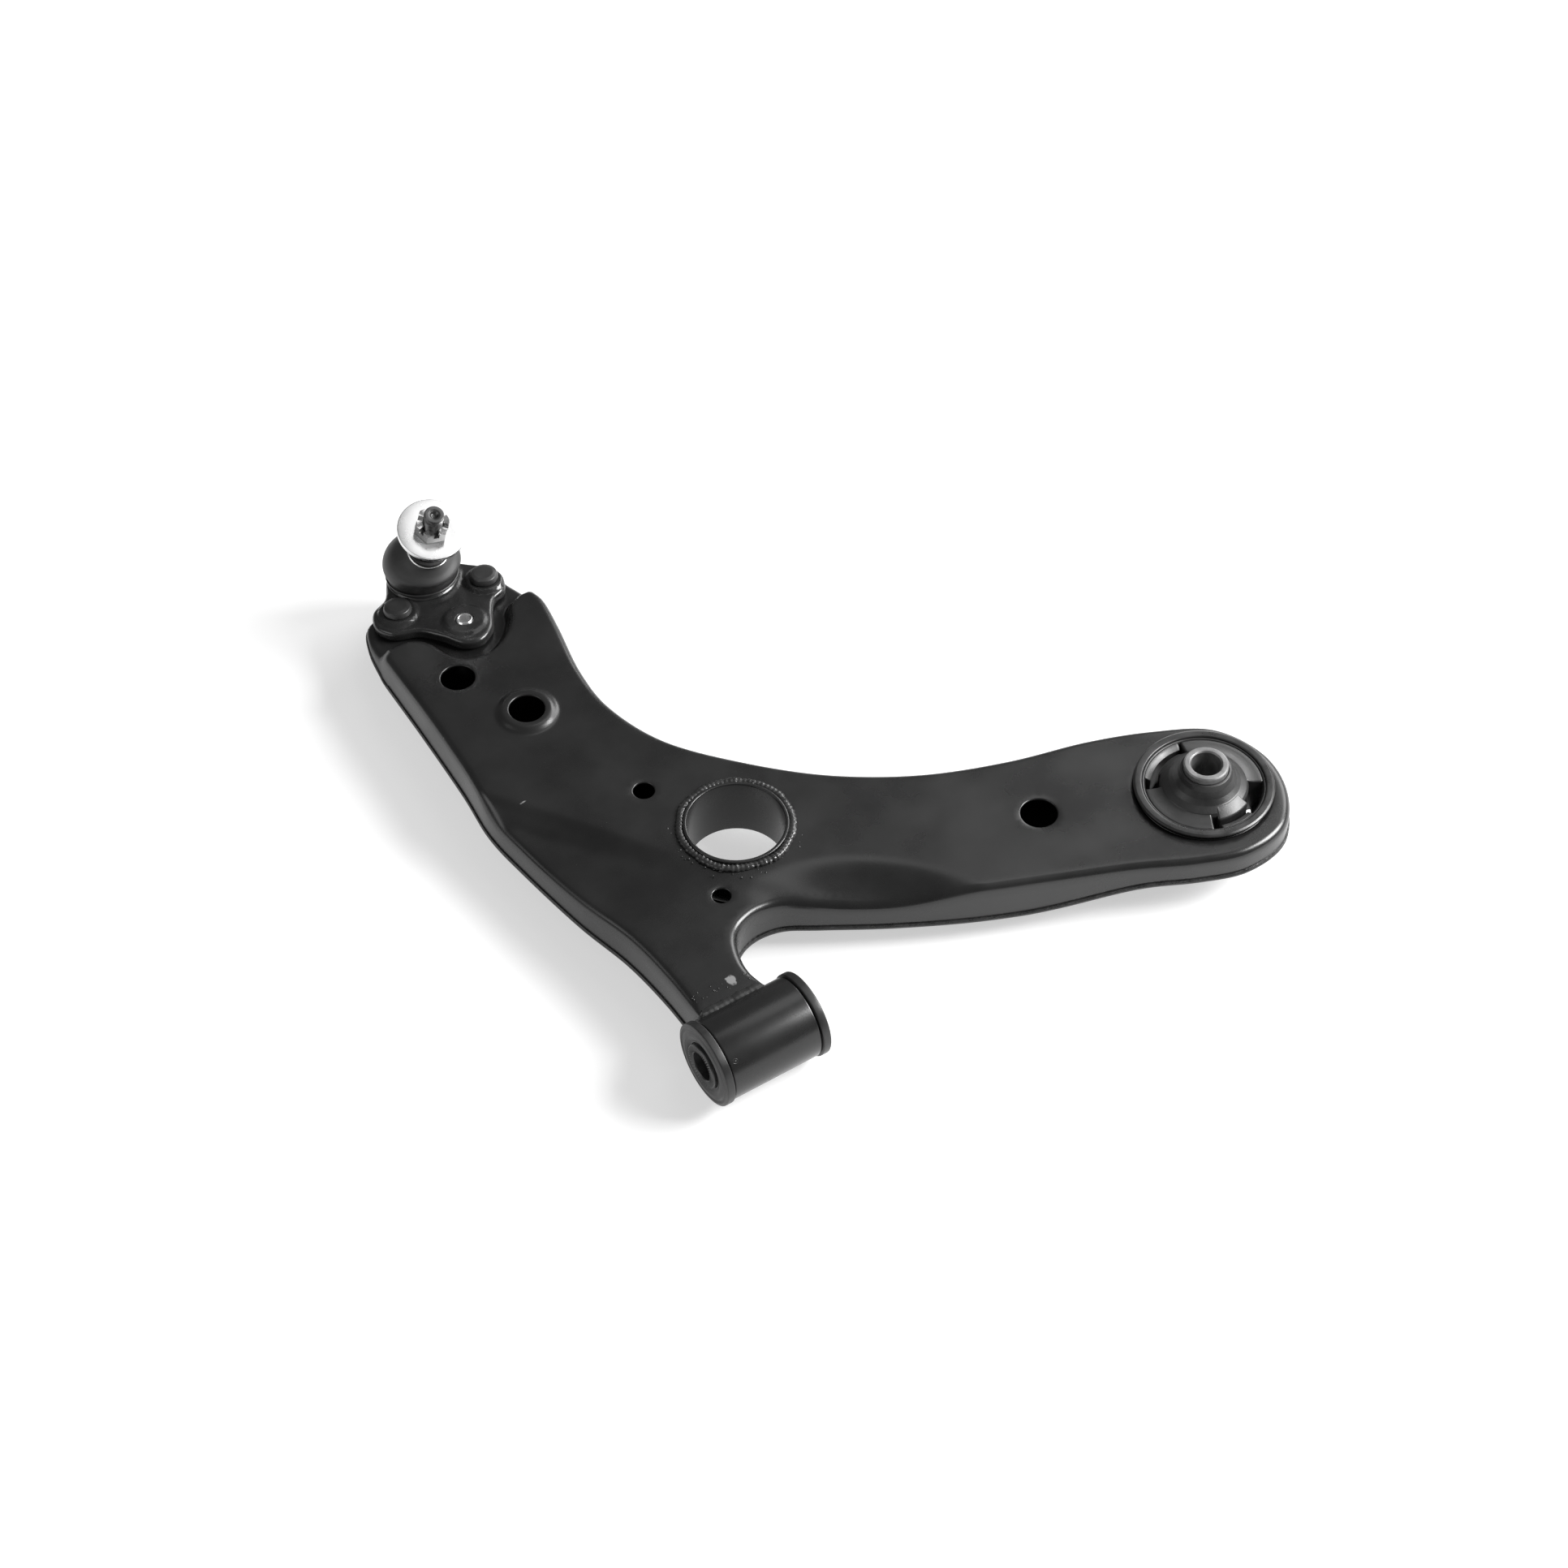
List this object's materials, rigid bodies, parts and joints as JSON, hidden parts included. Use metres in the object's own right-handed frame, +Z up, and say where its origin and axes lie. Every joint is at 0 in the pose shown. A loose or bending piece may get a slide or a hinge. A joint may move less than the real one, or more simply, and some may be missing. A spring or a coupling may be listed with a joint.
{
  "type": "suspension control arm",
  "caption": "Pressed-steel lower control arm with a bolted ball joint at the outer end, a horizontal bush at the front and a vertical bush at the rear.",
  "frame": {"origin": "middle of the arm's footprint, at the height of its lowest points, as it lies on its two bushes and the tails of its flange bolts", "axes": "+X runs rearwards along the pivot line from the front bush to the rear bush, +Y runs outboard to the ball joint, +Z is up"},
  "size_m": [0.3836, 0.456, 0.109],
  "materials": {
    "black_paint": "semi-gloss black",
    "rubber": "matt black",
    "dark_steel": "dull dark steel",
    "bright_zinc": "bright zinc plate",
    "satin_aluminium": "satin, turned",
    "polymer": "matt natural"
  },
  "bodies": {
    "arm": {"upper_shell": "black_paint", "lower_shell": "black_paint", "centre_tube": "black_paint", "front_bush_housing": "black_paint", "rear_bush_seat": "black_paint", "front_bush_can": "dark_steel", "front_bush_rubber": "rubber", "rear_bush_can": "dark_steel", "rear_bush_rubber": "rubber", "ball_joint_housing": "black_paint", "ball_joint_cap": "dark_steel", "dust_boot": "rubber", "boot_lower_ring": "bright_zinc", "flange_bolt_left": "black_paint", "flange_bolt_right": "black_paint", "flange_bolt_inner": "bright_zinc", "flange_nut_left": "dark_steel", "flange_nut_right": "dark_steel"},
    "front_sleeve": {"front_bush_sleeve": "dark_steel"},
    "rear_sleeve": {"rear_bush_sleeve": "dark_steel"},
    "ball_swing": {"ball_seat_liner": "polymer"},
    "ball_tilt": {"boot_upper_ring": "bright_zinc"},
    "stud": {"ball_stud": "dark_steel", "spacer_disc": "satin_aluminium", "castle_nut": "bright_zinc"}
  },
  "joints": [
    {"name": "front_sleeve_turn", "type": "hinge", "parent": "arm", "child": "front_sleeve", "pos_m": [-0.14875, -0.17696, 0.025], "axis": [1, 0, 0], "range_deg": [-20, 20], "stiffness_Nm_per_rad": 80},
    {"name": "rear_sleeve_rock", "type": "hinge", "parent": "arm", "child": "rear_sleeve", "pos_m": [0.14725, -0.17696, 0.031], "axis": [1, 0, 0], "range_deg": [-8, 8], "stiffness_Nm_per_rad": 60, "deforming": ["rear_bush_rubber"]},
    {"name": "ball_swing", "type": "hinge", "parent": "arm", "child": "ball_swing", "pos_m": [-0.13175, 0.20504, 0.036], "axis": [1, 0, 0], "range_deg": [-48.5, 5.5], "deforming": ["dust_boot"]},
    {"name": "ball_tilt", "type": "hinge", "parent": "ball_swing", "child": "ball_tilt", "pos_m": [-0.13175, 0.20504, 0.036], "axis": [0, 0.9537, 0.3007], "range_deg": [-16, 16], "deforming": ["dust_boot"]},
    {"name": "stud_spin", "type": "hinge", "parent": "ball_tilt", "child": "stud", "pos_m": [-0.13175, 0.20504, 0.036], "axis": [0, -0.3007, 0.9537], "continuous": true}
  ]
}
